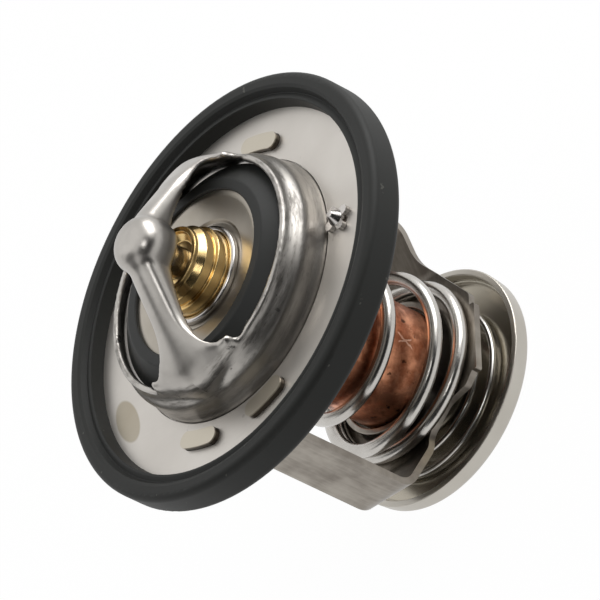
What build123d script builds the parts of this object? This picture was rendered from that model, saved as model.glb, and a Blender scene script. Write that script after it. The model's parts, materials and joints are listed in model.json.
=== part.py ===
from build123d import *
import math
import os

# Heights are measured in millimetres from the underside of the bypass disc, with the nose up.
# The bridge arms and the legs of the frame lie along X.

# Collar, arms and nose of the upper bridge
bridge_sheet = 1.0
collar_radius = 17.95
collar_flare = 0.5
collar_flange_width = 5.55
collar_bend = 2.0
mouth_inset = 1.1
mouth_height = 6.3
neck_height = 1.15
shoulder_height = 1.5
arm_half_width = 2.4
arm_crown = 1.5
arm_edge_round = 1.1
root_half_width = 8.8
nose_radius = 4.0
nose_height = 18.3
nose_depth = 5.8
nose_round = 2.2

# Flange and seal
flange_top = 37.2
flange_sheet = 1.2
flange_margin = 4.0
seal_cover = 2.0
seal_grip = 2.1
seal_crest = 2.7
seal_depth = 1.05
seal_corner = 1.0
groove_inset = 1.3
groove_depth = 0.95
bead_depth = 0.65
crest_inset = 2.2

# Lower frame
frame_sheet = 1.0
plate_height = 6.0
leg_inset = 0.8
leg_half_width = 4.0
leg_bend_height = 10.8
slope_start = 13.4
plate_half_width = 13.75
plate_shoulder = 12.9
tab_front = 4.6
tab_back = 5.8
foot_half_angle = 27.5
foot_width = 3.9

# Rivet heads that join the frame's feet, the collar and the flange
rivet_offset = 2.55
rivet_width = 2.4
rivet_half_angle = 6.2
rivet_spread = 17.5
rivet_stand = 0.8

# Vent pin
vent_offset = 2.25
vent_hole_radius = 1.5
vent_pin_radius = 0.8
vent_head_length = 4.2
vent_head_width = 1.3
vent_head_height = 0.7
vent_point_radius = 1.15
vent_point_height = 1.9
vent_weight_radius = 2.1
vent_weight_height = 3.0
vent_lift = 1.3

# Wax element
cup_radius = 8.3
cup_wall = 0.8
cup_bottom = 5.7
guide_top = 10.6
guide_radius = 5.45
guide_shoulder_radius = 5.96
guide_shoulder_height = 2.7
guide_rim = 0.7
guide_mouth = 4.1
guide_step = 3.2
guide_step_depth = 1.2
guide_neck_radius = 6.2
guide_foot = 3.0
piston_radius = 2.2
piston_depth = 14.0
piston_tip_radius = 1.2
sleeve_radius = 4.4
sleeve_flange = 1.3
washer_sheet = 1.1

# Main valve, measured from the flange's upper face
hub_height = 5.0
rim_height = 6.2
plate_sheet = 0.9
hub_radius = 7.7
hub_step = 0.35
plate_overlap = 0.6
plate_bend = 1.2
rubber_inner = 11.6
rubber_land = 1.5
rubber_slope_width = 1.4
rubber_slope_drop = 1.1
rubber_seat = 0.35
rubber_cone_height = 4.2
rubber_skirt = 0.6
rubber_cover = 2.9
rubber_stand = 0.5
ring_width = 0.9
ring_height = 0.9
seat_clearance = 0.2
seat_sheet = 0.8
seat_rim = 1.5

# Springs
main_wire = 2.0
main_top_radius = 9.9
main_bottom_radius = 12.0
main_closed = 0.77
main_turns = 5.4
main_wide = 1.55
main_flare = 1.0
bypass_wire = 0.9
bypass_bottom_radius = 13.3
bypass_top_radius = 6.7
bypass_turns = 3.2

# Bypass valve
disc_radius = 16.9
disc_height = 2.65
disc_sheet = 0.9
disc_hub_radius = 5.2
disc_hub_rise = 1.2
stem_radius = 2.0
stem_head_radius = 3.4
stem_head = 0.6
stem_washer_radius = 7.7
stem_washer_sheet = 0.5
clip_radius = 3.6
clip_sheet = 0.6
clip_height = 0.45
clip_groove = 0.4

# Clearances
sheet_gap = 0.05
press_gap = 0.02
running_gap = 0.05
guide_gap = 0.3
spring_gap = 0.05

collar_base_radius = collar_radius + collar_flare
mouth_radius = collar_radius - mouth_inset
collar_flange_radius = collar_base_radius + collar_flange_width
rivet_circle = collar_base_radius + rivet_offset
vent_circle = collar_base_radius + vent_offset
leg_reach = rivet_circle - leg_inset
flange_radius = collar_flange_radius + flange_margin
seal_radius = flange_radius + seal_cover
rubber_outer = mouth_radius - bridge_sheet + rubber_seat
seat_radius = main_top_radius + main_wire / 2 + seat_clearance + seat_sheet
plate_radius = rubber_outer - rubber_cover

flange_bottom = flange_top - flange_sheet
collar_bottom = flange_bottom - bridge_sheet
foot_bottom = collar_bottom - frame_sheet
plate_top = plate_height + frame_sheet


# A solid turned about Z from a closed outline of radius and height
def turned(points, radii=0.0):
    outline = FilletPolyline(*points, radius=radii, close=True)
    return revolve(Plane.XZ * make_face(outline), Axis.Z, 360)


# A block between two heights
def drum(radius, bottom, top):
    return Pos(0, 0, bottom) * extrude(Circle(radius), top - bottom)


# A kidney-shaped prism on the rivet circle
def kidney(azimuth, width, bottom, top):
    start = azimuth - rivet_half_angle
    arc = CenterArc((0, 0), rivet_circle, start, 2 * rivet_half_angle)
    return Pos(0, 0, bottom) * extrude(SlotArc(arc, width), top - bottom)


def kidneys(width, bottom, top):
    places = [side + turn for side in (0, 180) for turn in (-rivet_spread, rivet_spread)]
    group = [kidney(place, width, bottom, top) for place in places]
    return Part() + group


def vent_place(height):
    return Pos(0, -vent_circle, height)


# Outline sheet of the flange, with its centre hole, rivet slots and vent hole
def flange_plate():
    body = drum(flange_radius, flange_bottom, flange_top)
    body -= drum(collar_base_radius + sheet_gap, flange_bottom, flange_top)
    body -= kidneys(rivet_width + 2 * sheet_gap, flange_bottom, flange_top)
    body -= vent_place(flange_bottom) * extrude(Circle(vent_hole_radius), flange_sheet)
    return body


# U-section rubber ring with a crest, a groove inside the crest and a lip on each face
def flange_seal():
    top = flange_top + seal_crest
    bottom = flange_bottom - seal_depth
    lip = flange_radius - seal_grip
    groove = lip + groove_inset
    bead = 0.5 * (lip + groove)
    crest = lip + crest_inset
    upper = [
        (lip, flange_top),
        (0.5 * (lip + bead), top - bead_depth),
        (bead, top - bead_depth),
        (groove, top - groove_depth),
        (0.5 * (groove + crest), top - 0.2 * groove_depth),
        (crest, top),
        (seal_radius, top),
    ]
    lower = [
        (seal_radius, bottom),
        (crest, bottom),
        (groove, bottom + 0.4 * groove_depth),
        (bead, bottom + 0.4 * groove_depth),
        (lip, flange_bottom),
    ]
    pocket = [(flange_radius, flange_bottom), (flange_radius, flange_top)]
    radii = [0, 0.15, 0.25, 0.1, 0.2, 0.4, seal_corner, seal_corner, 0.3, 0, 0.2, 0, 0, 0]
    return turned(upper + lower + pocket, radii)


# Wall of the collar: a flange below, a flared base, a wall, a shoulder and the mouth
def collar():
    wall = collar_radius
    sheet = bridge_sheet
    mouth_top = flange_top + mouth_height
    neck = mouth_top - neck_height
    shoulder = neck - shoulder_height
    outer = [
        (collar_flange_radius, collar_bottom),
        (collar_flange_radius, flange_bottom),
        (collar_base_radius, flange_bottom),
        (collar_base_radius, flange_top + 0.2),
        (wall, flange_top + 1.5),
        (wall, shoulder),
        (mouth_radius, neck),
        (mouth_radius, mouth_top),
    ]
    inner = [
        (mouth_radius - sheet, mouth_top),
        (mouth_radius - sheet, neck - 0.3),
        (wall - sheet, shoulder - 0.3),
        (wall - sheet, collar_bottom),
    ]
    bend = collar_bend
    inner_bend = collar_bend - sheet
    radii = [0, 0, 0, 0.4, 1.2, bend, bend, 0.3, 0.2, inner_bend, inner_bend, 0.6]
    return turned(outer + inner, radii)


# Cross section of an arm, as a full block or as the hollow beneath it
def arm_section(reach, top, bottom, half_width, crown, inset):
    left = [(-half_width + inset, bottom), (-crown + inset * 0.6, top - inset)]
    right = [(crown - inset * 0.6, top - inset), (half_width - inset, bottom)]
    round_size = max(arm_edge_round - 0.7 * inset, 0.3)
    outline = FilletPolyline(*left, *right, radius=[0, round_size, round_size, 0], close=True)
    return Plane.YZ.offset(reach) * make_face(outline)


# Arm from the nose down to the collar: reach, crown height, edge height and widths per station
def arm(inset):
    base = flange_top
    drop = 0.4 * inset
    half = arm_half_width
    wall = collar_radius
    stations = [
        (2.6, base + 17.3, base + 12.5 - drop, half, arm_crown),
        (5.0, base + 16.0, base + 12.1 - drop, half, arm_crown),
        (8.0, base + 14.0, base + 10.9 - drop, half, arm_crown),
        (wall - 6.9, base + 12.1, base + 9.2 - drop, half + 0.3, arm_crown + 0.2),
        (wall - 4.4, base + 10.4, base + 7.6 - drop, half + 1.7, arm_crown + 1.2),
        (wall - 2.3, base + 8.9, base + 6.2 - drop, root_half_width - 2.0, arm_crown + 3.4),
        (wall + 0.1, base + 6.0, base + 3.6 - drop, root_half_width, arm_crown + 5.0),
    ]
    return loft([arm_section(*station, inset) for station in stations])


def nose(inset):
    top = flange_top + nose_height - 1.35 * inset
    bottom = flange_top + nose_height - nose_depth - 0.2 * inset
    wall = nose_radius - inset
    points = [(0, top), (wall, top), (wall, bottom + 2.0), (wall - 0.4, bottom), (0, bottom)]
    return turned(points, [0, nose_round - inset, 0.8, 0, 0])


# One drawn sheet: collar, two channel arms and the domed nose
def upper_bridge():
    both = (0, 180)
    inner_wall = drum(collar_radius - bridge_sheet, collar_bottom, flange_top + nose_height)
    outer_wall = drum(collar_radius, flange_top, flange_top + nose_height)
    block = arm(0.0) & outer_wall
    hollow = arm(bridge_sheet) & inner_wall
    body = collar() + nose(0.0)
    body += [Rot(0, 0, turn) * block for turn in both]
    body -= [Rot(0, 0, turn) * hollow for turn in both]
    body -= nose(bridge_sheet)
    body -= kidneys(rivet_width + 2 * sheet_gap, collar_bottom, flange_bottom)
    body -= vent_place(collar_bottom) * extrude(Circle(vent_hole_radius), bridge_sheet)
    return body


# Bent strip seen from the side: plate, slope and leg, with its inner face as the path
def leg_strip():
    path = FilletPolyline(
        (0, plate_top),
        (slope_start, plate_top),
        (leg_reach, leg_bend_height),
        (leg_reach, collar_bottom - 0.5 * frame_sheet),
        radius=[3.0, 2.5],
    )
    side = make_face(offset(path, amount=frame_sheet, side=Side.RIGHT))
    return extrude(Plane.XZ * side, amount=plate_half_width, both=True)


# Outline of the blank seen from above: two legs, shoulders and the side tabs of the plate
def blank_outline():
    reach = leg_reach + 3 * frame_sheet
    side = [
        (reach, -leg_half_width),
        (15.8, -leg_half_width - 0.2),
        (tab_front + 1.8, -plate_shoulder),
        (tab_front, -plate_shoulder),
        (tab_front, -plate_half_width),
        (-tab_back, -plate_half_width),
        (-tab_back, -plate_shoulder),
        (-tab_back - 1.7, -plate_shoulder + 1.3),
        (-tab_back - 2.6, -plate_shoulder + 5.0),
        (-tab_back - 5.9, -leg_half_width - 0.4),
        (-reach, -leg_half_width),
    ]
    radii = [0, 4.0, 1.2, 0, 0.3, 0.3, 0, 0.8, 1.5, 2.5, 0]
    other = [(-x, -y) for x, y in side]
    return make_face(FilletPolyline(*side, *other, radius=radii + radii, close=True))


# Foot under the collar's flange
def foot(turn):
    inner = rivet_circle - 0.5 * foot_width
    ring = Circle(inner + foot_width) - Circle(inner)
    spread = math.radians(foot_half_angle)
    far = 2 * rivet_circle
    wedge = Polyline(
        (0, 0),
        (far * math.cos(spread), -far * math.sin(spread)),
        (far * math.cos(spread), far * math.sin(spread)),
        close=True,
    )
    pad = Pos(0, 0, foot_bottom) * extrude(ring & make_face(wedge), frame_sheet)
    return Rot(0, 0, turn) * pad


# Upturned ring round the hole that guides the wax cup
def guide_collar(bore):
    height = plate_top + 2.8
    wall = bore + 0.9
    rim = wall + 1.2
    points = [(bore, plate_height), (bore, height), (wall, height), (wall, plate_top), (rim, plate_top)]
    return turned(points + [(rim, plate_height)], [0.8, 0.2, 0.2, 0.6, 0, 0])


# One sheet: guide plate, two legs, two feet and four rivet heads
def lower_frame():
    strip = leg_strip()
    tall = flange_top
    blank = extrude(blank_outline(), tall)
    bore = cup_radius + guide_gap
    body = (strip + Rot(0, 0, 180) * strip) & blank
    body -= drum(bore + 0.9, plate_height, plate_top)
    body += guide_collar(bore)
    body += [foot(0), foot(180)]
    body += kidneys(rivet_width, foot_bottom, flange_top + rivet_stand)
    return body


# Pin with a head of two crossed bars that rests on the flange
def vent_pin():
    stand = flange_top + sheet_gap
    low = collar_bottom - vent_lift - vent_weight_height
    shaft = vent_place(low) * extrude(Circle(vent_pin_radius), stand - low + 0.5 * vent_head_height)
    tip = 0.4 * vent_point_radius
    wide = vent_point_radius
    profile = [(0, 0), (wide, 0), (wide, vent_head_height), (tip, vent_point_height), (0, vent_point_height)]
    head = vent_place(stand) * turned(profile, [0, 0, 0.1, 0.2, 0])
    for turn in (25, 115):
        bar = extrude(SlotOverall(vent_head_length, vent_head_width), vent_head_height)
        head += vent_place(stand) * Rot(0, 0, turn) * bar
    return shaft + head


def vent_weight():
    top = collar_bottom - vent_lift - sheet_gap
    bottom = top - vent_weight_height
    bore = vent_pin_radius + press_gap
    points = [(bore, bottom), (vent_weight_radius, bottom), (vent_weight_radius, top), (bore, top)]
    return vent_place(0) * turned(points, [0, 0.8, 0.4, 0])


# Straight pin with a rounded top in the nose and a tapered tip in the sleeve
def piston():
    top = flange_top + nose_height - 1.35 * bridge_sheet - sheet_gap
    bottom = flange_top - piston_depth
    taper = flange_top - guide_foot - washer_sheet
    side = [(piston_tip_radius, bottom), (piston_radius, taper), (piston_radius, top)]
    return turned([(0, bottom)] + side + [(0, top)], [0, 0.5, 0, 0.6, 0])


# Turned guide: countersunk top, neck, shoulder, stem through the valve and a foot in the cup
def brass_guide():
    base = flange_top
    bore = piston_radius + running_gap
    foot_radius = cup_radius - cup_wall - press_gap
    rim = guide_radius - guide_rim
    shoulder = base + hub_height + guide_shoulder_height
    foot_top = seat_bottom() - cup_wall - sheet_gap
    points = [
        (bore, base - guide_foot),
        (foot_radius, base - guide_foot),
        (foot_radius, foot_top),
        (guide_neck_radius, foot_top),
        (guide_neck_radius, base + hub_height),
        (guide_shoulder_radius, base + hub_height),
        (guide_shoulder_radius, shoulder - 0.1),
        (guide_radius, shoulder),
        (guide_radius, base + guide_top - 1.5),
        (rim, base + guide_top - 0.6),
        (rim, base + guide_top),
        (guide_mouth, base + guide_top),
        (guide_mouth - 0.2, base + guide_top - 0.4 * guide_step_depth),
        (guide_step, base + guide_top - guide_step_depth),
        (bore, base + guide_top - guide_step_depth),
    ]
    return turned(points, [0, 0, 0, 0, 0, 0, 0.15, 0.1, 0.3, 0.2, 0.12, 0.12, 0.1, 0.2, 0])


# Height of the spring seat's underside, where the top coil and the cup's rim meet it
def seat_bottom():
    return flange_top + hub_height - plate_sheet - seat_sheet


# Bright ring pressed on the guide against the valve plate
def guide_ring():
    low = flange_top + hub_height
    inner = guide_shoulder_radius + press_gap
    outer = inner + ring_width
    points = [(inner, low), (outer, low), (outer, low + ring_height), (inner, low + ring_height)]
    return turned(points, [0, 0.2, 0.42, 0.3])


# Dished disc of the main valve
def valve_plate():
    base = flange_top
    bore = guide_neck_radius + press_gap
    hub = base + hub_height
    rim = base + rim_height
    rim_start = rubber_inner - plate_overlap
    step = hub + hub_step
    sheet = plate_sheet
    points = [
        (bore, hub),
        (hub_radius - 0.2, hub),
        (hub_radius + 0.2, step),
        (rim_start, rim),
        (plate_radius, rim),
        (plate_radius, rim - sheet),
        (rim_start + 0.15, rim - sheet),
        (hub_radius + 0.35, step - sheet),
        (hub_radius, hub - sheet),
        (bore, hub - sheet),
    ]
    return turned(points, [0, 0.15, 0.15, plate_bend, 0.2, 0.2, plate_bend, 0.15, 0.15, 0])


# Rubber moulded round the rim of the valve plate, with a cone that meets the collar
def valve_rubber():
    rim = flange_top + rim_height
    top = rim + rubber_stand
    cone = flange_top + rubber_cone_height
    land = rubber_inner + rubber_land
    slope = land + rubber_slope_width
    points = [
        (rubber_inner, rim),
        (rubber_inner, top),
        (land, top),
        (slope, top - rubber_slope_drop),
        (rubber_outer, cone),
        (rubber_outer - 0.2, cone - rubber_skirt),
        (rubber_inner + 0.4, cone + 0.5),
        (rubber_inner + 0.4, rim - plate_sheet),
        (plate_radius, rim - plate_sheet),
        (plate_radius, rim),
    ]
    return turned(points, [0, 0.2, 0.5, 0.25, 0.3, 0.2, 0.2, 0, 0, 0])


# Dished washer under the valve plate that holds the top coil
def spring_seat():
    bottom = seat_bottom()
    top = bottom + seat_sheet
    bore = guide_neck_radius + press_gap
    low = bottom - seat_rim
    wall = seat_radius - seat_sheet
    upper = [(bore, bottom), (bore, top), (seat_radius, top)]
    lower = [(seat_radius, low), (wall, low), (wall, bottom)]
    return turned(upper + lower, [0, 0, 1.0, 0.2, 0.2, 0.4])


# Drawn copper cup, its rim rolled in over the foot of the guide
def wax_cup():
    top = seat_bottom() - sheet_gap
    inner = cup_radius - cup_wall
    floor = cup_bottom + cup_wall
    lip = guide_neck_radius + 0.1
    points = [
        (0, cup_bottom),
        (cup_radius, cup_bottom),
        (cup_radius, top),
        (lip, top),
        (lip, top - cup_wall),
        (inner, top - cup_wall),
        (inner, floor),
        (0, floor),
    ]
    return turned(points, [0, 1.6, 0.9, 0.2, 0, 0, 0.8, 0])


def backup_washer():
    top = flange_top - guide_foot
    bottom = top - washer_sheet
    bore = piston_radius + running_gap
    rim = cup_radius - cup_wall - press_gap
    return turned([(bore, bottom), (rim, bottom), (rim, top), (bore, top)])


def sleeve_top():
    return flange_top - guide_foot - washer_sheet


# Rubber sleeve round the tapered tip of the piston
def piston_sleeve():
    top = sleeve_top()
    rim = cup_radius - cup_wall - press_gap
    tip = flange_top - piston_depth - guide_gap
    points = [
        (0, tip - 2.0),
        (sleeve_radius - 1.0, tip - 2.0),
        (sleeve_radius, top - sleeve_flange),
        (rim, top - sleeve_flange),
        (rim, top),
        (piston_radius + guide_gap, top),
        (piston_tip_radius + guide_gap, tip),
        (0, tip),
    ]
    return turned(points, [0, 1.0, 0, 0, 0, 0, 0.5, 0])


# Wax round the sleeve, filling the cup
def wax_fill():
    room = drum(cup_radius - cup_wall - press_gap, cup_bottom + 2 * cup_wall, sleeve_top() - sleeve_flange)
    tip = flange_top - piston_depth - guide_gap
    points = [
        (0, tip - 2.1),
        (sleeve_radius - 0.9, tip - 2.1),
        (sleeve_radius + 0.1, sleeve_top() - sleeve_flange + 0.1),
        (0, sleeve_top() - sleeve_flange + 0.1),
    ]
    return room - turned(points)


# Wire swept along a coil whose radius and height follow the turn
def wound(wire, turns, radius_at, height_at, points_per_turn=12):
    count = round(turns * points_per_turn)
    points = []
    for step in range(count + 1):
        share = step / count
        angle = 2 * math.pi * turns * share
        radius = radius_at(share)
        points.append((radius * math.cos(angle), radius * math.sin(angle), height_at(share)))
    path = Spline(*points)
    start = Plane(origin=path @ 0, z_dir=path % 0)
    return sweep(start * Circle(wire / 2), path=path, is_frenet=True)


# Main spring: closed end coils, straight above and flared towards the plate
def main_spring():
    low = plate_top + main_wire / 2 + spring_gap
    high = seat_bottom() - main_wire / 2 - spring_gap
    turns = main_turns + 2 * main_closed

    def height_at(share):
        rise = (share * turns - main_closed) / main_turns
        return low + (high - low) * smooth(min(max(rise, 0.0), 1.0))

    def radius_at(share):
        narrowed = min(max((share * turns - main_wide) / main_flare, 0.0), 1.0)
        return main_bottom_radius + (main_top_radius - main_bottom_radius) * smooth(narrowed)

    return wound(main_wire, turns, radius_at, height_at)


# Blend from 0 to 1 that starts and ends softly
def smooth(share):
    soft = 0.12
    if share < soft:
        return share * share / (2 * soft * (1 - soft))
    if share > 1 - soft:
        return 1 - (1 - share) ** 2 / (2 * soft * (1 - soft))
    return (share - soft / 2) / (1 - soft)


# Bypass spring: a low cone between the disc and the washer on the stem
def bypass_spring():
    low = disc_sheet + bypass_wire / 2 + spring_gap
    high = cup_bottom - stem_head - stem_washer_sheet - bypass_wire / 2 - spring_gap

    def height_at(share):
        return low + (high - low) * smooth(share)

    def radius_at(share):
        return bypass_bottom_radius + (bypass_top_radius - bypass_bottom_radius) * share

    return wound(bypass_wire, bypass_turns, radius_at, height_at)


# Dished disc: a tall rim, a flat floor and a raised hub over the clip
def bypass_disc():
    inner = disc_radius - disc_sheet
    bore = stem_radius + running_gap
    hub = disc_hub_rise
    top = disc_sheet
    points = [
        (bore, hub),
        (disc_hub_radius - 0.5, hub),
        (disc_hub_radius + 0.5, 0),
        (disc_radius - 0.1, 0),
        (disc_radius + 0.1, disc_height),
        (inner + 0.1, disc_height),
        (inner, top),
        (disc_hub_radius + 0.9, top),
        (disc_hub_radius - 0.1, top + hub),
        (bore, top + hub),
    ]
    return turned(points, [0, 0.5, 0.5, 0.8, 0.15, 0.15, 0.6, 0.5, 0.5, 0])


# Pin on the cup's bottom, with a groove for the clip
def bypass_stem():
    top = cup_bottom
    head = top - stem_head
    groove = stem_radius - clip_groove
    end = clip_height - 0.2
    clip_top = clip_height + clip_sheet + sheet_gap
    points = [
        (0, end),
        (stem_radius, end),
        (stem_radius, clip_height - sheet_gap),
        (groove, clip_height - sheet_gap),
        (groove, clip_top),
        (stem_radius, clip_top),
        (stem_radius, head),
        (stem_head_radius, head),
        (stem_head_radius, top),
        (0, top),
    ]
    return turned(points)


def stem_washer():
    top = cup_bottom - stem_head
    bottom = top - stem_washer_sheet
    bore = stem_radius + running_gap
    points = [(bore, bottom), (stem_washer_radius, bottom), (stem_washer_radius, top), (bore, top)]
    return turned(points, [0, 0.15, 0.15, 0])


# Open clip in the groove of the stem
def bypass_clip():
    inner = stem_radius - clip_groove + press_gap
    ring = Circle(clip_radius) - Circle(inner)
    mouth = Pos(clip_radius, 0) * Rectangle(2 * clip_radius, 2.4 * inner * 0.8)
    return Pos(0, 0, clip_height) * extrude(ring - mouth, clip_sheet)


pieces = {
    "flange_plate": flange_plate,
    "flange_seal": flange_seal,
    "upper_bridge": upper_bridge,
    "lower_frame": lower_frame,
    "vent_pin": vent_pin,
    "vent_weight": vent_weight,
    "piston": piston,
    "brass_guide": brass_guide,
    "guide_ring": guide_ring,
    "valve_plate": valve_plate,
    "valve_rubber": valve_rubber,
    "spring_seat": spring_seat,
    "wax_cup": wax_cup,
    "backup_washer": backup_washer,
    "piston_sleeve": piston_sleeve,
    "wax_fill": wax_fill,
    "main_spring": main_spring,
    "bypass_spring": bypass_spring,
    "bypass_disc": bypass_disc,
    "bypass_stem": bypass_stem,
    "stem_washer": stem_washer,
    "bypass_clip": bypass_clip,
}

os.makedirs("parts", exist_ok=True)
for name, build in pieces.items():
    export_step(build(), f"parts/{name}.step")
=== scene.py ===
import json
import math

import bpy
from mathutils import Matrix, Vector


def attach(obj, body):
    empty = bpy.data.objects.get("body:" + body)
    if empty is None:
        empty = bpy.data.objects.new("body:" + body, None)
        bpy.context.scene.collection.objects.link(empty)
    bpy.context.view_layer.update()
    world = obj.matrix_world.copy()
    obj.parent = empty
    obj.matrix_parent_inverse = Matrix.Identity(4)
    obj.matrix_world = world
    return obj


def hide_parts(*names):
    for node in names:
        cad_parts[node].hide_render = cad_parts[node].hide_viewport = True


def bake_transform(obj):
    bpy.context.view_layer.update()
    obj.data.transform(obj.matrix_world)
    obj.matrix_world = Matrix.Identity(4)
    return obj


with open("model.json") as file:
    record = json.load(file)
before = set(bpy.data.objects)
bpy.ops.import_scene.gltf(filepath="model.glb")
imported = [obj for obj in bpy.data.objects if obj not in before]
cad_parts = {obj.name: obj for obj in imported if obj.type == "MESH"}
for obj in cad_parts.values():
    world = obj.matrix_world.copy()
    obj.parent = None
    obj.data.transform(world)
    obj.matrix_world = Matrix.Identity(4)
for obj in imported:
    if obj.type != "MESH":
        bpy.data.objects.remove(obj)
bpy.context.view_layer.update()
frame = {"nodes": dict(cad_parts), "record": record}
cadNodes = frame["nodes"]
mm = 0.001
print("frame loaded:", len(cadNodes), "nodes")


# Shader nodes


class Wire:
    # an output of a node that can stand in a sum
    def __init__(self, graph, socket):
        self.graph = graph
        self.socket = socket

    def math(self, operation, first, second=0.0):
        return self.graph.node("ShaderNodeMath", {"operation": operation}, {0: first, 1: second})

    def __add__(self, other):
        return self.math("ADD", self, other)

    __radd__ = __add__

    def __sub__(self, other):
        return self.math("SUBTRACT", self, other)

    def __rsub__(self, other):
        return self.math("SUBTRACT", other, self)

    def __mul__(self, other):
        return self.math("MULTIPLY", self, other)

    __rmul__ = __mul__

    def __truediv__(self, other):
        return self.math("DIVIDE", self, other)

    def __pow__(self, other):
        return self.math("POWER", self, other)

    def __abs__(self):
        return self.math("ABSOLUTE", self)


class Graph:
    # the nodes of one material or of the world
    def __init__(self, tree):
        self.tree = tree
        tree.nodes.clear()

    def node(self, kind, settings=None, inputs=None, output=0):
        made = self.tree.nodes.new(kind)
        for key, value in (settings or {}).items():
            setattr(made, key, value)
        for key, value in (inputs or {}).items():
            if isinstance(value, Wire):
                self.tree.links.new(value.socket, made.inputs[key])
            else:
                made.inputs[key].default_value = value
        return Wire(self, made.outputs[output]) if made.outputs else None

    def place(self):
        return self.node("ShaderNodeTexCoord", output="Object")

    def axis(self, vector, letter):
        return self.node("ShaderNodeSeparateXYZ", inputs={0: vector}, output=letter)

    def vector(self, x, y, z):
        return self.node("ShaderNodeCombineXYZ", inputs={0: x, 1: y, 2: z})

    def noise(self, vector, scale, detail=4.0, roughness=0.55):
        sockets = {"Vector": vector, "Scale": scale, "Detail": detail, "Roughness": roughness}
        return self.node("ShaderNodeTexNoise", inputs=sockets)

    def step(self, value, low, high):
        sockets = {"Value": value, "From Min": low, "From Max": high}
        return self.node("ShaderNodeMapRange", {"interpolation_type": "SMOOTHSTEP"}, sockets)

    # islands of a noise: 0 where it is under low, 1 where it is over high
    def spots(self, vector, scale, detail, roughness, low, high):
        return self.step(self.noise(vector, scale, detail, roughness), low, high)

    def blend(self, factor, first, second):
        return self.node("ShaderNodeMix", {"data_type": "RGBA"}, {0: factor, 6: first, 7: second}, output=2)

    def bump(self, height, strength, depth):
        return self.node("ShaderNodeBump", inputs={"Strength": strength, "Distance": depth, "Height": height})

    # radius, angle and height about the object's own axis
    def polar(self):
        place = self.place()
        x, y, z = (self.axis(place, letter) for letter in "XYZ")
        radius = (x * x + y * y) ** 0.5
        angle = y.math("ARCTAN2", y, x)
        return radius, angle, z


def newSurface(name):
    material = bpy.data.materials.new(name)
    material.use_nodes = True
    return material, Graph(material.node_tree)


def finishSurface(material, graph, colour, metallic, roughness, normal=None, sheen=0.5):
    sockets = {"Base Color": colour, "Metallic": metallic, "Roughness": roughness}
    sockets["Specular IOR Level"] = sheen
    if normal is not None:
        sockets["Normal"] = normal
    shader = graph.node("ShaderNodeBsdfPrincipled", inputs=sockets)
    graph.node("ShaderNodeOutputMaterial", inputs={0: shader})
    return material


def tint(*rgb):
    # a colour as written on a screen, turned to linear light
    shares = [value / 255 for value in rgb]
    linear = (share / 12.92 if share <= 0.04045 else ((share + 0.055) / 1.055) ** 2.4 for share in shares)
    return (*linear, 1.0)


# Finishes
# noises are given by their scale, and spots by scale, detail, roughness, and where they start and are full;
# a relief is the strength and depth of a bump

flangeFinish = {
    "colour": tint(206, 202, 196),
    "shade": tint(176, 170, 163),
    "speck": tint(120, 112, 104),
    "roughness": 0.3,
    "cloud": 90,
    "grain": 900,
    "lines": 420,  # rolled lines, long along Y
    "specks": (420, 2, 0.5, 0.7, 0.76),
    "relief": (0.08, 0.05 * mm),
    "patch": (-9.76 * mm, 20.94 * mm),  # middle of the oval patch of another tone
    "patchTurn": 2.007,
    "patchHalf": (2.0 * mm, 4.2 * mm),
    "patchColour": tint(158, 148, 128),
}


def flangeSteel():
    material, g = newSurface("brushedFlangeSteel")
    place = g.place()
    x, y = (g.axis(place, letter) for letter in "XY")
    cloud = g.noise(place, flangeFinish["cloud"], 3)
    fine = g.noise(place, flangeFinish["grain"], 3, 0.7)
    lines = g.noise(g.vector(x * 9.0, y * 0.9, 0.0), flangeFinish["lines"], 4, 0.65)
    speck = g.spots(place, *flangeFinish["specks"])
    colour = g.blend(cloud * 0.7, flangeFinish["colour"], flangeFinish["shade"])
    colour = g.blend(speck * 0.35, colour, flangeFinish["speck"])
    # the patch is an oval about its own turned axes
    across, along = x - flangeFinish["patch"][0], y - flangeFinish["patch"][1]
    cosine, sine = math.cos(flangeFinish["patchTurn"]), math.sin(flangeFinish["patchTurn"])
    outwards = (across * cosine + along * sine) / flangeFinish["patchHalf"][0]
    sideways = (along * cosine - across * sine) / flangeFinish["patchHalf"][1]
    inPatch = 1 - g.step(outwards * outwards + sideways * sideways, 0.8, 1.05)
    colour = g.blend(inPatch * (0.5 + cloud * 0.6), colour, flangeFinish["patchColour"])
    roughness = flangeFinish["roughness"] + cloud * 0.12 + lines * 0.14
    return finishSurface(material, g, colour, 1.0, roughness, g.bump(fine + lines, *flangeFinish["relief"]))


bridgeFinish = {
    "colour": tint(196, 192, 186),
    "shade": tint(146, 142, 137),
    # dirt of the drawing marks, used also as painted shade on the collar near its neck
    "dirtAndShade": tint(84, 81, 77),
    "speck": tint(60, 58, 56),
    "roughness": 0.24,
    "cloud": 160,
    "grain": 1500,
    "specks": (520, 3, 0.6, 0.66, 0.72),
    "marks": (1.0, 5, 0.7, 0.44, 0.66),
    "relief": (0.14, 0.06 * mm),
    "neckStart": 39.4 * mm,  # from here up the marks and the painted shade grow, and at the neck they are full
    "neck": 42.4 * mm,
    "collarTop": (43.3 * mm, 45.2 * mm),  # the marks end between these heights
}


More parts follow.
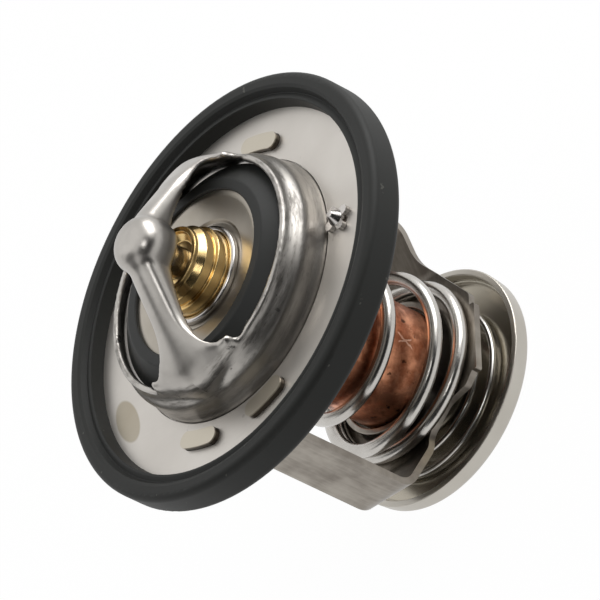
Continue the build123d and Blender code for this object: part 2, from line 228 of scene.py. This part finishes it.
def bridgeSteel():
    material, g = newSurface("drawnBridgeSteel")
    place = g.place()
    radius, angle, height = g.polar()
    cloud = g.noise(place, bridgeFinish["cloud"], 4)
    fine = g.noise(place, bridgeFinish["grain"], 3, 0.65)
    speck = g.spots(place, *bridgeFinish["specks"])
    # long marks of the drawing tool round the collar, strongest near its neck, where the collar also gets
    # painted shade
    marks = g.spots(g.vector(angle * 3.0, height * 900, radius * 500), *bridgeFinish["marks"])
    low = 1 - g.step(height, *bridgeFinish["collarTop"])
    neck = g.step(height, bridgeFinish["neckStart"], bridgeFinish["neck"]) * low
    colour = g.blend(cloud, bridgeFinish["colour"], bridgeFinish["shade"])
    # dirt along the marks and the specks, both made darker towards the neck as painted shade
    colour = g.blend(marks * (neck * 0.5 + low * 0.35), colour, bridgeFinish["dirtAndShade"])
    colour = g.blend(speck * (0.1 + neck * 0.7), colour, bridgeFinish["speck"])
    roughness = bridgeFinish["roughness"] + cloud * 0.16 + marks * 0.1 * low
    normal = g.bump(fine + cloud * 2.0 + marks * low, *bridgeFinish["relief"])
    return finishSurface(material, g, colour, 1.0, roughness, normal)


frameFinish = {
    "colour": tint(160, 154, 145),
    "shade": tint(110, 103, 95),
    "head": tint(184, 177, 163),  # upper face of a rivet head
    # painted shade on the sides of the rivet heads
    "headSideShade": tint(84, 77, 69),
    "headFoot": (36.8 * mm, 37.1 * mm),  # the heads' sides, in painted shade, start between these heights
    "headTop": (37.7 * mm, 37.9 * mm),  # and end between these
    "roughness": 0.22,
    "cloud": 120,
    "grain": 1300,
    "lines": 420,
    "relief": (0.1, 0.05 * mm),
}


def frameSteel():
    material, g = newSurface("frameSteel")
    place = g.place()
    x, y, height = (g.axis(place, letter) for letter in "XYZ")
    cloud = g.noise(place, frameFinish["cloud"], 4)
    lines = g.noise(g.vector(x * 0.6, y * 5.0, height * 0.6), frameFinish["lines"], 4, 0.6)
    fine = g.noise(place, frameFinish["grain"], 3, 0.65)
    tone = g.step(cloud * 0.75 + lines * 0.25, 0.3, 0.68)
    colour = g.blend(tone, frameFinish["colour"], frameFinish["shade"])
    # painted shade: the sides of the rivet heads are darkened by height
    colour = g.blend(g.step(height, *frameFinish["headFoot"]), colour, frameFinish["headSideShade"])
    colour = g.blend(g.step(height, *frameFinish["headTop"]), colour, frameFinish["head"])
    roughness = frameFinish["roughness"] + cloud * 0.15 + fine * 0.06
    normal = g.bump(fine + cloud + lines * 0.5, *frameFinish["relief"])
    return finishSurface(material, g, colour, 1.0, roughness, normal)


rubberFinish = {
    "seal": (tint(27, 28, 26), 0.5),  # colour and roughness
    "valve": (tint(30, 31, 30), 0.45),
    "sleeve": (tint(44, 44, 44), 0.5),
    "bloom": tint(46, 47, 43),
    "dust": tint(96, 96, 90),
    "sheen": 0.32,
    "cloud": 70,
    "grain": 2600,
    "dusting": (640, 2, 0.5, 0.735, 0.76),
    "relief": (0.12, 0.04 * mm),
}


def moulded(name, colour, roughness):
    material, g = newSurface(name)
    place = g.place()
    cloud = g.noise(place, rubberFinish["cloud"], 4)
    fine = g.noise(place, rubberFinish["grain"], 2, 0.6)
    dust = g.spots(place, *rubberFinish["dusting"])
    shade = g.blend(cloud * 0.3, colour, rubberFinish["bloom"])
    shade = g.blend(dust * 0.6, shade, rubberFinish["dust"])
    rough = roughness + cloud * 0.12 + fine * 0.05
    normal = g.bump(fine, *rubberFinish["relief"])
    return finishSurface(material, g, shade, 0.0, rough, normal, rubberFinish["sheen"])


wireFinish = {
    "colour": tint(202, 199, 194),
    "shade": tint(150, 145, 138),
    "shading": 0.6,
    "roughness": 0.18,
    "cloud": 300,
}
groundFinish = {
    "colour": tint(206, 202, 198),
    "shade": tint(150, 146, 142),
    "shading": 0.5,
    "roughness": 0.16,
    "cloud": 400,
}


def brightSteel(name, finish):
    material, g = newSurface(name)
    cloud = g.noise(g.place(), finish["cloud"], 3)
    colour = g.blend(cloud * finish["shading"], finish["colour"], finish["shade"])
    return finishSurface(material, g, colour, 1.0, finish["roughness"] + cloud * 0.12)


brassFinish = {
    "colour": tint(232, 206, 150),
    "shade": tint(196, 160, 98),
    "roughness": 0.14,
    "cloud": 260,
    "rings": 900,  # marks of the lathe
    "relief": (0.1, 0.04 * mm),
}


def guideBrass():
    material, g = newSurface("turnedBrass")
    radius, angle, height = g.polar()
    rings = g.noise(g.vector(radius * 6.0, height * 6.0, angle * 0.002), brassFinish["rings"], 2, 0.6)
    cloud = g.noise(g.place(), brassFinish["cloud"], 3)
    colour = g.blend(cloud, brassFinish["colour"], brassFinish["shade"])
    roughness = brassFinish["roughness"] + cloud * 0.12
    return finishSurface(material, g, colour, 1.0, roughness, g.bump(rings, *brassFinish["relief"]))


cupFinish = {
    "colour": tint(222, 156, 120),
    "shade": tint(162, 98, 68),
    "stain": tint(104, 60, 42),
    "spot": tint(46, 28, 20),
    "scratch": tint(238, 196, 170),
    "roughness": 0.3,
    "clouding": (420, 5, 0.6, 0.34, 0.66),
    "staining": (190, 5, 0.65, 0.44, 0.62),
    "spotting": (640, 3, 0.6, 0.64, 0.7),
    "grain": 1400,
    "relief": (0.2, 0.06 * mm),
    "radius": 8.25 * mm,
    "scratchAngle": -1.8,  # round the cup, where the light scratch is
    "scratchHeight": 14.3 * mm,
    "strokes": ((0.45, 1.6 * mm), (-0.5, 1.2 * mm)),  # lean and reach of each
    "strokeEdge": (0.06 * mm, 0.18 * mm),
    "ragged": 0.6 * mm,
}


def cupCopper():
    material, g = newSurface("oxidisedCopper")
    place = g.place()
    angle, height = g.polar()[1:]
    cloud = g.spots(place, *cupFinish["clouding"])
    stain = g.spots(place, *cupFinish["staining"])
    spot = g.spots(place, *cupFinish["spotting"])
    fine = g.noise(place, cupFinish["grain"], 3, 0.65)
    colour = g.blend(cloud, cupFinish["colour"], cupFinish["shade"])
    colour = g.blend(stain * 0.65, colour, cupFinish["stain"])
    colour = g.blend(spot * 0.8, colour, cupFinish["spot"])
    # two short strokes that meet, rubbed bright
    along = (angle - cupFinish["scratchAngle"]) * cupFinish["radius"]
    above = height - cupFinish["scratchHeight"]
    ragged = (fine - 0.5) * cupFinish["ragged"]
    strokes = 0.0
    for lean, reach in cupFinish["strokes"]:
        line = 1 - g.step(abs(along - above * lean + ragged), *cupFinish["strokeEdge"])
        strokes = line * (1 - g.step(abs(above), reach * 0.7, reach)) + strokes
    colour = g.blend(g.step(strokes, 0.0, 0.9), colour, cupFinish["scratch"])
    roughness = cupFinish["roughness"] + stain * 0.16 + cloud * 0.1
    normal = g.bump(fine + cloud * 2.0, *cupFinish["relief"])
    return finishSurface(material, g, colour, 1.0, roughness, normal)


valveFinish = {
    "colour": tint(176, 170, 160),
    "shade": tint(140, 133, 122),
    "roughness": 0.3,
    "cloud": 140,
    "grain": 1500,
    "relief": (0.08, 0.04 * mm),
}


def valveSteel():
    material, g = newSurface("valvePlateSteel")
    place = g.place()
    cloud = g.noise(place, valveFinish["cloud"], 3)
    fine = g.noise(place, valveFinish["grain"], 3, 0.65)
    colour = g.blend(cloud, valveFinish["colour"], valveFinish["shade"])
    roughness = valveFinish["roughness"] + cloud * 0.12
    return finishSurface(material, g, colour, 1.0, roughness, g.bump(fine, *valveFinish["relief"]))


discFinish = {
    "colour": tint(192, 188, 180),
    "shade": tint(158, 152, 141),
    "inside": tint(160, 152, 134),
    "rim": (15.8 * mm, 16.4 * mm),  # between these radii the inside gives way to the rim
    "roughness": 0.3,
    "cloud": 110,
    "rings": 700,
    "relief": (0.08, 0.04 * mm),
}


def discSteel():
    material, g = newSurface("pressedDiscSteel")
    radius, angle, height = g.polar()
    rings = g.noise(g.vector(radius * 2.0, height * 2.0, angle * 0.002), discFinish["rings"], 1, 0.4)
    cloud = g.noise(g.place(), discFinish["cloud"], 3)
    inside = 1 - g.step(radius, *discFinish["rim"])
    colour = g.blend(cloud * 0.6, discFinish["colour"], discFinish["shade"])
    colour = g.blend(inside * 0.6, colour, discFinish["inside"])
    roughness = discFinish["roughness"] - inside * 0.1 + cloud * 0.08
    return finishSurface(material, g, colour, 1.0, roughness, g.bump(rings, *discFinish["relief"]))


polymerFinish = {
    "colour": tint(220, 218, 210),
    "shade": tint(200, 196, 184),
    "roughness": 0.5,
    "cloud": (300, 3),  # scale and detail
}
waxFinish = {
    "colour": tint(206, 178, 120),
    "shade": tint(176, 142, 86),
    "roughness": 0.45,
    "cloud": (200, 4),
}


def cloudySolid(name, finish):
    material, g = newSurface(name)
    colour = g.blend(g.noise(g.place(), *finish["cloud"]), finish["colour"], finish["shade"])
    return finishSurface(material, g, colour, 0.0, finish["roughness"])


slotFinishes = {
    "flange_steel": flangeSteel(),
    "bridge_steel": bridgeSteel(),
    "frame_steel": frameSteel(),
    "seal_rubber": moulded("sealRubber", *rubberFinish["seal"]),
    "valve_rubber": moulded("valveRubber", *rubberFinish["valve"]),
    "valve_steel": valveSteel(),
    "ring_steel": brightSteel("groundSteel", groundFinish),
    "spring_steel": brightSteel("brightSpringWire", wireFinish),
    "pin_steel": brightSteel("groundSteel", groundFinish),
    "guide_brass": guideBrass(),
    "cup_copper": cupCopper(),
    "disc_steel": discSteel(),
    "washer_polymer": cloudySolid("whitePolymer", polymerFinish),
    "sleeve_rubber": moulded("sleeveRubber", *rubberFinish["sleeve"]),
    "wax": cloudySolid("waxBlock", waxFinish),
}


def coat(made, slot):
    made.data.materials.clear()
    made.data.materials.append(slotFinishes[slot])


for row in frame["record"]["subparts"]:
    coat(cadNodes[row["node"]], row["material_slot"])
print("finishes made:", len(slotFinishes))


# Work on meshes

meshWork = {
    "sameSpot": 0.002 * mm,  # points of a CAD mesh nearer than this are merged
    "sharpFrom": 0.6,  # edges that turn by more stay sharp
}


def pick(*objects):
    # leave only these selected, with the first one active
    bpy.ops.object.select_all(action="DESELECT")
    for made in objects:
        made.select_set(True)
    bpy.context.view_layer.objects.active = objects[0]


def openMesh(made):
    pick(made)
    bpy.ops.object.mode_set(mode="EDIT")
    bpy.ops.mesh.select_all(action="SELECT")


def closeMesh():
    bpy.ops.object.mode_set(mode="OBJECT")


def joined(*objects):
    pick(*objects)
    bpy.ops.object.join()
    return bpy.context.object


def shaped(made, name, kind, **settings):
    # one modifier, set and applied
    modifier = made.modifiers.new(name, kind)
    for key, value in settings.items():
        setattr(modifier, key, value)
    bpy.ops.object.modifier_apply(modifier=name)


def cadCopy(name, node):
    made = bpy.data.objects.new(name, cadNodes[node].data.copy())
    bpy.context.collection.objects.link(made)
    openMesh(made)
    bpy.ops.mesh.remove_doubles(threshold=meshWork["sameSpot"])
    closeMesh()
    return made


def smoothCopy():
    # shade the CAD copy that is active by its angles
    bpy.ops.mesh.customdata_custom_splitnormals_clear()
    bpy.ops.object.shade_smooth_by_angle(angle=meshWork["sharpFrom"])


# Drawn bridge: collar, arms and nose pressed from one sheet
# lengths in millimetres; heights are above the flange, distances and reaches from the axis

bridge = {
    "flangeTop": 37.2,  # above the part's underside
    "sheet": 1.0,
    "noseTop": 18.3,
    "halfWidth": 2.35,  # of an arm before it widens
    "crownFlat": 1.4,  # the crown falls from this distance on
    "crownFall": 0.6436,
    "crownStep": 0.7,  # least fall below the nose
    "wall": 17.93,
    "wallRound": 1.9,  # the crown rounds down over this length before the wall
    "wallFall": 0.36,
    "sweepStart": 9.5,  # an arm widens from here along an arc
    "sweepRound": 5.85,
    "sweepShare": 0.97,  # of the arc that is used
    "sweepEnd": 15.2,
    "edgeStart": (4.0, 12.4),  # reach and height of an arm's lower edge at the nose
    "edgeBend": (8.5, 10.8),
    "edgeFall": (0.356, 0.534),  # before and after the bend
    "edgeLowest": 4.6,
    "sideLeast": 1.9,  # least height of an arm's side
    "sideTop": 1.3,  # below the crown
    "sink": (1.1, 0.7),  # how far the sides of a root stand in and down
    "rootFall": 0.12,
    "collarColumns": 144,
    "noseColumns": 48,
    "poleMerge": 0.12,
    "footCut": 0.3,
    "voxel": 0.3,
    "smoothing": 6,
    "softer": {
        "corners": {"middle": (15.4, 6.5, 6.9), "reach": 3.4, "smoothing": 45},  # side of an arm and mouth
        "noseJoins": {"middle": (3.7, 0.0, 16.9), "reach": 2.8, "smoothing": 24},
    },
    "nearGain": 1.6,
    "insideFrom": (9.5, 2.4),  # reach and height where the hollow side of a root starts
    "insideHalf": 9.0,
    "insideTurn": 0.15,  # how far a face has to look inwards or down
    "insideGain": 2.0,
    "insideSmoothing": 220,
}

# outline of the collar's section, as distance and height
collarSection = [
    (18.35, -1.0), (18.38, 0.25), (18.25, 0.7), (18.05, 1.25), (17.95, 2.0), (17.95, 2.9), (17.84, 3.6),
    (17.5, 4.25), (17.15, 4.75), (16.92, 5.2), (16.85, 5.7), (16.84, 6.2), (16.7, 6.3), (16.0, 6.3),
    (15.87, 6.2), (15.87, 5.6), (16.05, 4.8), (16.5, 4.1), (16.85, 3.4), (16.95, 2.6), (16.95, 1.0),
    (17.1, -1.0),
]
noseSection = [
    (0.05, 18.3), (1.3, 18.3), (2.1, 18.17), (2.9, 17.78), (3.5, 17.15), (3.86, 16.4), (4.0, 15.5),
    (4.0, 14.2), (3.9, 13.2), (3.7, 12.55), (3.45, 12.4), (2.95, 12.45), (2.85, 13.0), (3.0, 14.4),
    (2.95, 15.7), (2.5, 16.5), (1.6, 16.95), (0.05, 17.0),
]
# stations from the nose to the wall: reach, share of the curve round the axis, and height where it is fixed
armStations = [
    (0.0, 0.0, None), (1.6, 0.0, None), (3.2, 0.0, None), (5.0, 0.0, None), (7.0, 0.0, None),
    (8.8, 0.0, None), (10.2, 0.0, None), (11.4, 0.0, None), (12.4, 0.0, None), (13.3, 0.05, None),
    (14.1, 0.12, None), (14.8, 0.25, None), (15.5, 0.5, None), (16.2, 0.8, None), (16.85, 1.0, None),
    (17.4, 1.0, None), (17.78, 1.0, 6.75), (17.93, 1.0, 5.9), (17.93, 1.0, 4.4), (17.95, 1.0, 2.9),
]
# half an arm's section, from the middle of its crown to its lower edge: share of the half width, distance in
# from there, and fall below the crown; the edge stands twice, which keeps it crisp
armSection = [
    (0.0, 0.0, 0.0), (0.22, 0.0, 0.0), (1.0, 0.65, 0.34), (1.0, 0.22, 0.82), (1.0, 0.0, 1.5),
    (1.0, 0.0, "side"), (1.0, 0.0, "edge"), (1.0, 0.0, "edge"),
]


def turnedShell(name, profile, columns):
    # a closed section drawn round the axis ring by ring
    radius, height = profile[0]
    spot = (0, 0, (bridge["flangeTop"] + height) * mm)
    bpy.ops.object.select_all(action="DESELECT")
    bpy.ops.mesh.primitive_circle_add(vertices=columns, radius=radius * mm, location=spot)
    made = bpy.context.object
    made.name = name
    bpy.ops.object.transform_apply(location=True)
    openMesh(made)
    for nextRadius, nextHeight in profile[1:] + profile[:1]:
        bpy.ops.mesh.extrude_edges_move()
        ratio = nextRadius / radius
        bpy.ops.transform.resize(value=(ratio, ratio, 1), center_override=(0, 0, 0))
        bpy.ops.transform.translate(value=(0, 0, (nextHeight - height) * mm))
        radius, height = nextRadius, nextHeight
    bpy.ops.mesh.select_all(action="SELECT")
    bpy.ops.mesh.remove_doubles(threshold=bridge["poleMerge"] * mm)
    bpy.ops.mesh.normals_make_consistent(inside=False)
    closeMesh()
    return made


def crownHeight(distance):
    fall = max(bridge["crownFall"] * (distance - bridge["crownFlat"]), bridge["crownStep"])
    over = max(distance - (bridge["wall"] - bridge["wallRound"]), 0.0)
    return bridge["noseTop"] - fall - bridge["wallFall"] * over * over


def halfWidth(reach):
    size = bridge["sweepRound"]
    along = min(max(reach - bridge["sweepStart"], 0.0), bridge["sweepShare"] * size)
    return bridge["halfWidth"] + size - math.sqrt(size * size - along * along)


def lowerEdge(reach):
    start, high = bridge["edgeStart"]
    bend, low = bridge["edgeBend"]
    if reach < bend:
        return high - bridge["edgeFall"][0] * (max(reach, start) - start)
    return low - bridge["edgeFall"][1] * (reach - bend)


def armPoint(station, column):
    # a point of the arm's outer face; columns run from one lower edge to the other
    reach, curve, fixed = station
    share, inset, fall = armSection[abs(column)]
    half = halfWidth(min(reach, bridge["sweepEnd"]) if curve else reach)
    across = math.copysign(half * share - inset, column)
    sink = (abs(across) / half) ** 3 * curve
    sinkIn, sinkDown = bridge["sink"]
    reach = reach - sinkIn * sink
    bent = math.sqrt(max(reach * reach - across * across * curve, 0.0)) if curve else reach
    along = reach + (bent - reach) * curve
    crown = (crownHeight(math.hypot(along, across)) if fixed is None else fixed) - sinkDown * sink
    if fixed is not None:
        return along, across, crown - bridge["rootFall"] * max(abs(column) - 2, 0)
    low = max(min(lowerEdge(reach), crown - bridge["sideLeast"]), bridge["edgeLowest"])
    if fall == "edge":
        return along, across, low
    if fall == "side":
        return along, across, 0.5 * (low + crown - bridge["sideTop"])
    return along, across, crown - fall


def armStrip():
    # one strip from wall to wall over the nose, pressed to shape and thickened to the sheet
    stations = [(-reach, curve, fixed) for reach, curve, fixed in armStations[:0:-1]] + armStations
    rows = len(stations) - 1
    side = len(armSection) - 1
    bpy.ops.object.select_all(action="DESELECT")
    bpy.ops.mesh.primitive_grid_add(x_subdivisions=rows, y_subdivisions=2 * side, size=2)
    strip = bpy.context.object
    strip.name = "bridgeStrip"
    for vertex in strip.data.vertices:
        reach, curve, fixed = stations[round((vertex.co.x + 1) / 2 * rows)]
        column = round((vertex.co.y + 1) * side) - side
        x, y, z = armPoint((abs(reach), curve, fixed), column)
        vertex.co = Vector((-x if reach < 0 else x, y, z + bridge["flangeTop"])) * mm
    shaped(strip, "soften", "SUBSURF", levels=1, render_levels=1)
    shaped(strip, "sheet", "SOLIDIFY", thickness=bridge["sheet"] * mm, offset=-1)
    return strip


def bridgeFoot():
    # the flat ring under the flange, with its rivet slots and vent hole, from a copy of the CAD bridge
    made = cadCopy("bridgeFoot", "upper_bridge")
    openMesh(made)
    cut = (0, 0, (bridge["flangeTop"] - bridge["footCut"]) * mm)
    bpy.ops.mesh.bisect(plane_co=cut, plane_no=(0, 0, 1), clear_outer=True, use_fill=True)
    closeMesh()
    smoothCopy()
    return made


def nearShare(middle, reach):
    # above 0 within reach of a place, and of its mirrored places on the other arm and side
    x, y, z = middle

    def share(place, normal):
        apart = Vector((abs(place.x) - x, abs(place.y) - y, place.z - z)).length
        return bridge["nearGain"] * (1 - apart / reach)

    return share


def insideShare(place, normal):
    # above 0 on the hollow side of the arms' roots, which is only seen from inside
    reach, height = bridge["insideFrom"]
    if abs(place.x) < reach or abs(place.y) > bridge["insideHalf"] or place.z < height:
        return 0.0
    inwards = -(normal.x * place.x + normal.y * place.y) / max(math.hypot(place.x, place.y), 1.0)
    return bridge["insideGain"] * (max(inwards, -normal.z) - bridge["insideTurn"])


def melt(made, name, share, iterations):
    # smooth only where share is above 0
    group = made.vertex_groups.new(name=name)
    for vertex in made.data.vertices:
        place = vertex.co / mm - Vector((0, 0, bridge["flangeTop"]))
        weight = share(place, vertex.normal)
        if weight > 0:
            group.add([vertex.index], min(1.0, weight), "REPLACE")
    shaped(made, name, "SMOOTH", factor=0.5, iterations=iterations, vertex_group=name)


def drawnBridge():
    collar = turnedShell("bridgeCollar", collarSection, bridge["collarColumns"])
    nose = turnedShell("bridgeNose", noseSection, bridge["noseColumns"])
    made = joined(collar, nose, armStrip())
    made.name = "drawnBridge"
    shaped(made, "oneSkin", "REMESH", mode="VOXEL", voxel_size=bridge["voxel"] * mm)
    shaped(made, "pressed", "SMOOTH", factor=0.5, iterations=bridge["smoothing"])
    for name, spot in bridge["softer"].items():
        melt(made, name, nearShare(spot["middle"], spot["reach"]), spot["smoothing"])
    melt(made, "inside", insideShare, bridge["insideSmoothing"])
    bpy.ops.object.shade_smooth()
    made = joined(made, bridgeFoot())
    coat(made, "bridge_steel")
    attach(made, "housing")
    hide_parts("upper_bridge")
    print("bridge drawn:", len(made.data.polygons), "faces")


drawnBridge()


# Coil springs, copied from the CAD coils

coils = {
    "mainCoil": {"node": "main_spring", "below": "housing", "above": "element"},
    "bypassCoil": {"node": "bypass_spring", "below": "bypass_valve", "above": "element"},
}


def sprungCoil(name, node, below, above):
    # the CAD coil as it is, copied, smoothed and coated
    made = cadCopy(name, node)
    smoothCopy()
    coat(made, "spring_steel")
    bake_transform(made)
    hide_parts(node)
    print("coil made:", name, len(made.data.polygons), "faces")


for name, coil in coils.items():
    sprungCoil(name, **coil)


# Camera, floor and light

camera = {
    "aim": (0.0, 0.0, 37.2),  # middle of the flange's upper face
    "distance": 721.8,
    "azimuth": 226.6,  # from +X towards +Y
    "elevation": 33.69,
    "roll": 63.56,
    "right": 8.733,  # the aim's offset in the picture
    "up": -1.197,
    "focal": 5567.5,  # in pixels of the picture
    "picture": 600,
    "sensor": 36.0,
    "clip": (0.01, 50),  # in metres
}


def cameraAxes():
    azimuth, elevation, roll = (math.radians(camera[key]) for key in ("azimuth", "elevation", "roll"))
    flat = math.cos(elevation)
    back = Vector((flat * math.cos(azimuth), flat * math.sin(azimuth), math.sin(elevation)))
    level = Vector((0, 0, 1)).cross(back).normalized()
    upright = back.cross(level)
    right = level * math.cos(roll) - upright * math.sin(roll)
    return right, back.cross(right), back


right, up, back = cameraAxes()
aim = Vector(camera["aim"]) * mm


def inView(across, above, towards):
    # a point given in millimetres from the aim, as the camera sees it
    return aim + (right * across + up * above + back * towards) * mm


def facing(direction):
    # the turn that brings an object's Z axis into a direction
    return direction.normalized().to_track_quat("Z", "Y").to_euler()


def addCamera():
    spot = inView(camera["right"], camera["up"], camera["distance"])
    turn = Matrix((right, up, back)).transposed().to_euler()
    bpy.ops.object.camera_add(location=spot, rotation=turn)
    made = bpy.context.object
    made.data.sensor_width = camera["sensor"]
    made.data.lens = camera["focal"] / camera["picture"] * camera["sensor"]
    made.data.clip_start, made.data.clip_end = camera["clip"]
    bpy.context.scene.camera = made


# places in millimetres in the camera's axes, about the aim
lamps = {
    "leftBox": {"place": (-420, 190, 20), "size": (360, 420), "power": 0.1},
    "topBox": {"place": (60, 420, 60), "size": (420, 260), "power": 1.3},
    "frontBox": {"place": (-120, 160, 520), "size": (160, 160), "power": 0.35},
    "rightBox": {"place": (420, -60, 160), "size": (120, 360), "power": 0.8},
}


def addLamp(name, place, size, power):
    spot = inView(*place)
    bpy.ops.object.light_add(type="AREA", location=spot, rotation=facing(spot - aim))
    made = bpy.context.object
    made.name = name
    made.data.shape = "RECTANGLE"
    made.data.size = size[0] * mm
    made.data.size_y = size[1] * mm
    made.data.energy = power


backdrop = {
    "white": 1.0,
    "even": 0.5,
    "floorSize": 40.0,  # in metres
    "floorDrop": 0.02 * mm,  # below the part
    "floorGlow": 0.95,
    "floorWhite": 1.03,
    "floorTones": (0.55, 0.5),
    "floorCloud": 3,
}


def grey(tone):
    return (tone, tone, tone, 1)


def seenWhite(g):
    # 1 for what the camera sees, straight or in metal and glass
    names = ("Is Camera Ray", "Is Glossy Ray", "Is Transmission Ray")
    direct, glossy, clear = (g.node("ShaderNodeLightPath", output=name) for name in names)
    return g.node("ShaderNodeMath", {"operation": "ADD", "use_clamp": True}, {0: direct + glossy, 1: clear})


def paintWorld():
    world = bpy.data.worlds.new("studio")
    bpy.context.scene.world = world
    world.use_nodes = True
    g = Graph(world.node_tree)
    even = g.node("ShaderNodeBackground", inputs={0: grey(1), 1: backdrop["even"]})
    white = g.node("ShaderNodeBackground", inputs={0: grey(1), 1: backdrop["white"]})
    mixed = g.node("ShaderNodeMixShader", inputs={0: seenWhite(g), 1: even, 2: white})
    g.node("ShaderNodeOutputWorld", inputs={0: mixed})


def addFloor():
    bpy.ops.object.select_all(action="DESELECT")
    bpy.ops.mesh.primitive_plane_add(size=backdrop["floorSize"], location=(0, 0, -backdrop["floorDrop"]))
    floor = bpy.context.object
    floor.name = "floor"
    material, g = newSurface("paleFloor")
    pale, plain = (grey(tone) for tone in backdrop["floorTones"])
    colour = g.blend(g.noise(g.place(), backdrop["floorCloud"], 2) * 0.1, pale, plain)
    lit = g.node("ShaderNodeBsdfDiffuse", inputs={0: colour})
    glow = g.node("ShaderNodeEmission", inputs={0: grey(1), 1: backdrop["floorWhite"]})
    mixed = g.node("ShaderNodeMixShader", inputs={0: seenWhite(g) * backdrop["floorGlow"], 1: lit, 2: glow})
    g.node("ShaderNodeOutputMaterial", inputs={0: mixed})
    floor.data.materials.append(material)


flags = {
    "cameraFlag": {"place": (150, 0, 1100), "size": (1900, 1900), "tone": 0.04},
    "rightFlag": {"place": (750, 60, 150), "size": (1100, 1300), "tone": 0.05},
    "leftFlag": {"place": (-700, -330, 260), "size": (520, 560), "tone": 0.3},
}


def addFlag(name, place, size, tone):
    # a dark card beside the camera's view, that metal mirrors
    spot = inView(*place)
    bpy.ops.object.select_all(action="DESELECT")
    bpy.ops.mesh.primitive_plane_add(size=1.0, location=spot, rotation=facing(aim - spot))
    made = bpy.context.object
    made.name = name
    made.scale = (size[0] * mm, size[1] * mm, 1)
    material, g = newSurface(name)
    card = g.node("ShaderNodeBsdfDiffuse", inputs={0: grey(tone)})
    g.node("ShaderNodeOutputMaterial", inputs={0: card})
    made.data.materials.append(material)


addCamera()
for name, lamp in lamps.items():
    addLamp(name, **lamp)
paintWorld()
addFloor()
for name, flag in flags.items():
    addFlag(name, **flag)
bpy.context.scene.view_settings.view_transform = "Standard"
print("camera, lamps, flags and floor placed")
